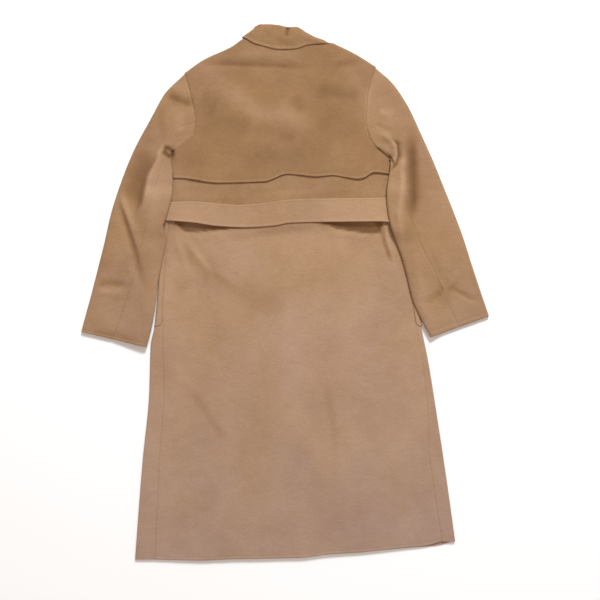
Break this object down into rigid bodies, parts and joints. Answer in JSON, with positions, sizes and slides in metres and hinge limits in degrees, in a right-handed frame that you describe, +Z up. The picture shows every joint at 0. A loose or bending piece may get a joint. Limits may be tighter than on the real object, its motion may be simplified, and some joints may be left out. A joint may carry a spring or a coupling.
{
  "type": "long belted wool overcoat, laid flat",
  "caption": "Long wool overcoat laid flat with its back up: fold-over collar, storm flap, waist belt, two-piece sleeves and side pockets.",
  "frame": {"origin": "on the surface that the coat lies on, under the middle of its outline", "axes": "+Z up out of the coat's back, +Y along the coat towards the collar, +X towards the wearer's right sleeve"},
  "size_m": [0.9156, 1.2039, 0.0208],
  "materials": {
    "wool_body": "camel double-faced wool with a soft, brushed nap",
    "wool_flap": "camel double-faced wool with a soft, brushed nap",
    "wool_sleeve": "camel double-faced wool with a soft, brushed nap",
    "wool_collar": "camel double-faced wool with a soft, brushed nap",
    "wool_belt": "camel double-faced wool, pressed, with felled edges"
  },
  "bodies": {
    "root": {"front_left": "wool_body", "front_right": "wool_body", "back": "wool_body", "back_flap": "wool_flap", "belt": "wool_belt", "belt_loop_left": "wool_belt", "belt_loop_right": "wool_belt", "pocket_left": "wool_body", "pocket_right": "wool_body", "sleeve_left_upper": "wool_sleeve", "sleeve_left_under": "wool_sleeve", "sleeve_right_upper": "wool_sleeve", "sleeve_right_under": "wool_sleeve", "collar_left": "wool_collar", "collar_right": "wool_collar"}
  },
  "joints": []
}
